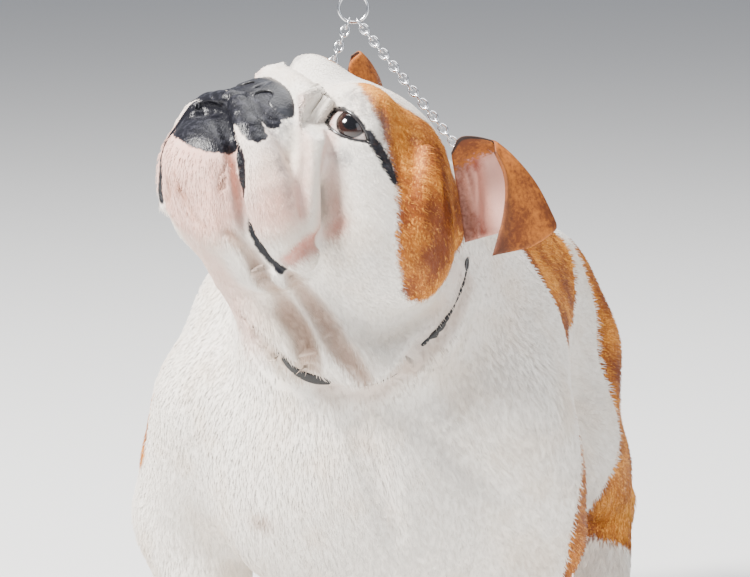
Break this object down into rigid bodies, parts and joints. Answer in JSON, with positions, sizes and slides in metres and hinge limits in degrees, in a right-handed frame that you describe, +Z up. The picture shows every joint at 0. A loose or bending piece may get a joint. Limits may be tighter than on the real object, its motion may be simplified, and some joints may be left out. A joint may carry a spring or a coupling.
{
  "type": "english bulldog figure",
  "caption": "Life-size still figure of a standing english bulldog, head raised and turned, wearing a thin strap collar with a chain.",
  "frame": {"origin": "middle of the standing footprint of the whole figure's box, on the floor under the paws", "axes": "+Z up, -Y towards the dog's front, +X towards its left"},
  "size_m": [0.3256, 0.6054, 0.5089],
  "materials": {
    "coat_white": "short flat white fur with tan patches",
    "coat_tan": "short flat red-tan fur",
    "eye": "wet, dark brown iris",
    "nose_pad": "pebbled black skin, slightly wet",
    "claw": "horn, semi-gloss",
    "strap": "black, smooth",
    "chain_steel": "polished steel"
  },
  "bodies": {
    "root": {"head": "coat_white", "neck": "coat_white", "torso": "coat_white", "front_left_leg": "coat_white", "front_right_leg": "coat_white", "hind_left_leg": "coat_white", "hind_right_leg": "coat_white", "tail": "coat_white", "left_ear": "coat_tan", "right_ear": "coat_tan", "left_eye": "eye", "right_eye": "eye", "nose": "nose_pad", "collar_strap": "strap", "collar_ring": "chain_steel", "left_chain": "chain_steel", "right_chain": "chain_steel"}
  },
  "joints": []
}
